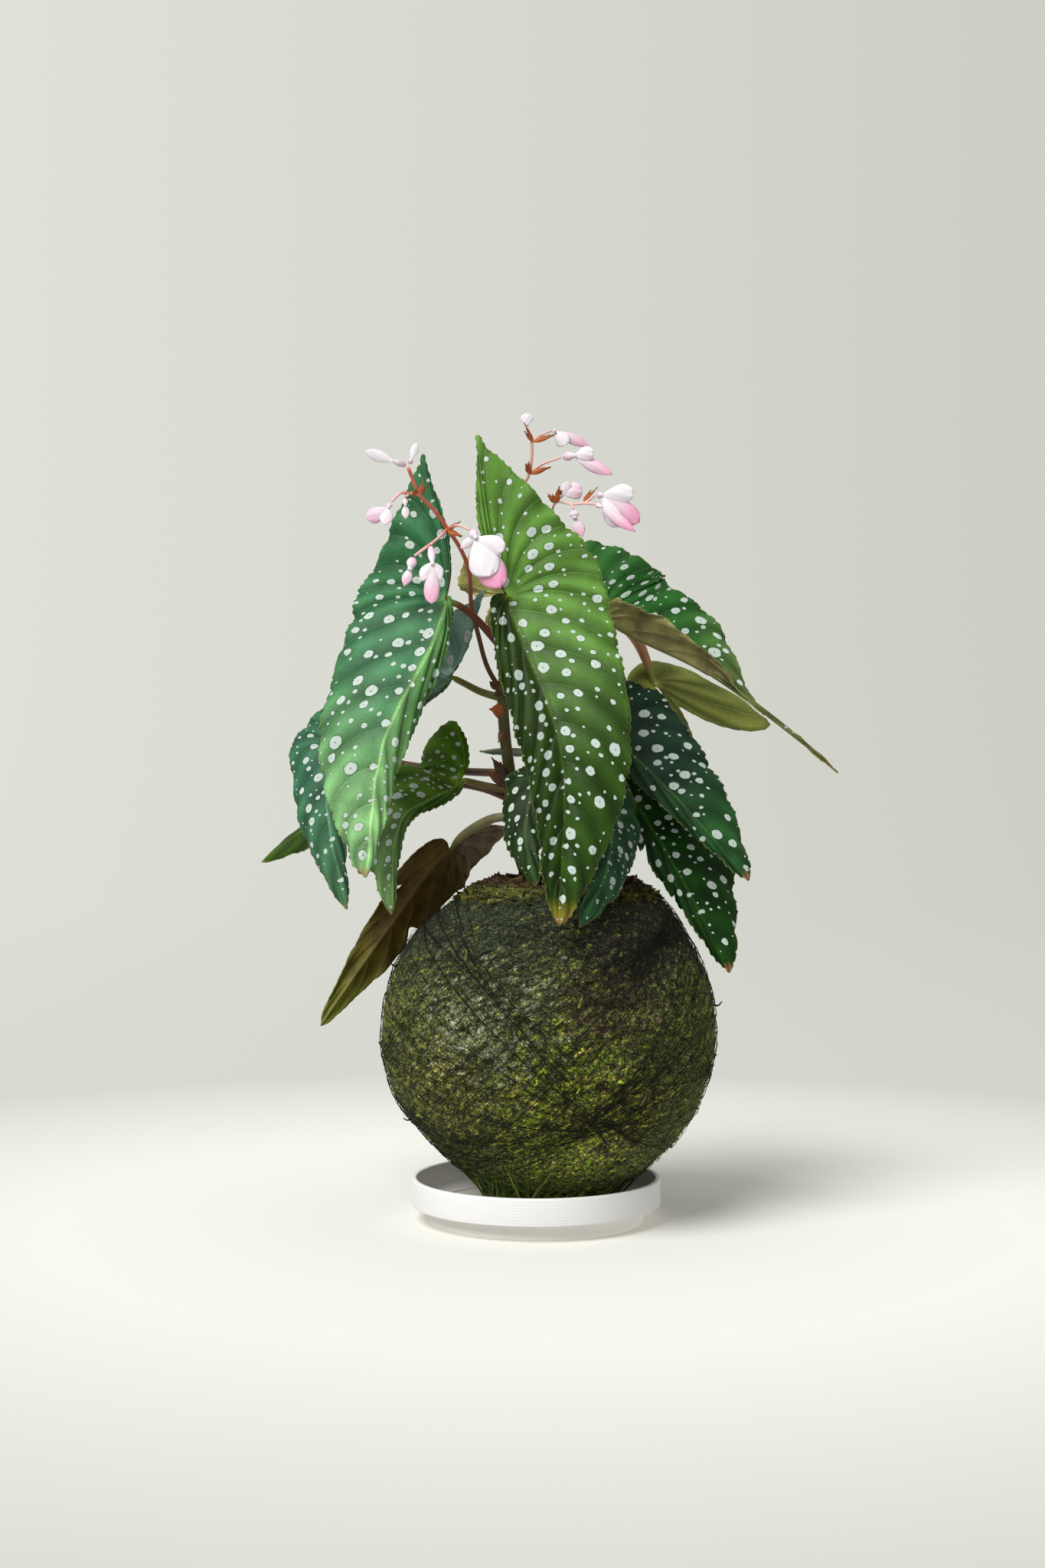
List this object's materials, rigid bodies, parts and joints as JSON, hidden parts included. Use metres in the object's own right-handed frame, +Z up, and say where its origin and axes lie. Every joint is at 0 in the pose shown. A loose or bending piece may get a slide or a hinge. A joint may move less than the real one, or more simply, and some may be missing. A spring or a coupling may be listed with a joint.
{
  "type": "kokedama moss ball plant",
  "caption": "Spotted angel-wing begonia in flower, rooted in a thread-wound moss ball that stands on a white glazed saucer.",
  "frame": {"origin": "centre of the saucer's flat underside, on the surface that it stands on", "axes": "+Z up, +X to the right of the plant as seen from its front, +Y away from the front"},
  "size_m": [0.2665, 0.1531, 0.3631],
  "materials": {
    "saucer_glaze": "satin",
    "moss": "matte",
    "soil": "matte",
    "thread": "matte",
    "cane_bark": "satin",
    "leaf": "satin",
    "flower_stalk": "satin",
    "petal": "matte"
  },
  "bodies": {
    "root": {"saucer": "saucer_glaze", "moss_wrap": "moss", "soil_ball": "soil", "thread_winding": "thread", "cane_left": "cane_bark", "cane_right": "cane_bark", "leaf_front_right": "leaf", "leaf_front_left": "leaf", "leaf_left_low": "leaf", "leaf_left_inner": "leaf", "leaf_left_drooping": "leaf", "leaf_left_far": "leaf", "leaf_left_middle": "leaf", "leaf_back_upper": "leaf", "leaf_back_middle": "leaf", "leaf_front_low_right": "leaf", "leaf_front_low_left": "leaf", "leaf_right_top": "leaf", "leaf_right_back": "leaf", "leaf_right_middle": "leaf", "leaf_right_low": "leaf", "flower_stalk_left": "flower_stalk", "flower_stalk_right": "flower_stalk", "bloom_left_large": "petal", "bud_left_low": "petal", "bloom_left_low": "petal", "bud_left_hanging": "petal", "bloom_left_side": "petal", "bud_left_long": "petal", "bud_left_upright": "petal", "bud_right_round": "petal", "bloom_right_upper": "petal", "bloom_right_top": "petal", "bloom_right_inner": "petal", "bud_right_low": "petal", "bloom_right_large": "petal", "bloom_right_small": "petal"}
  },
  "joints": []
}
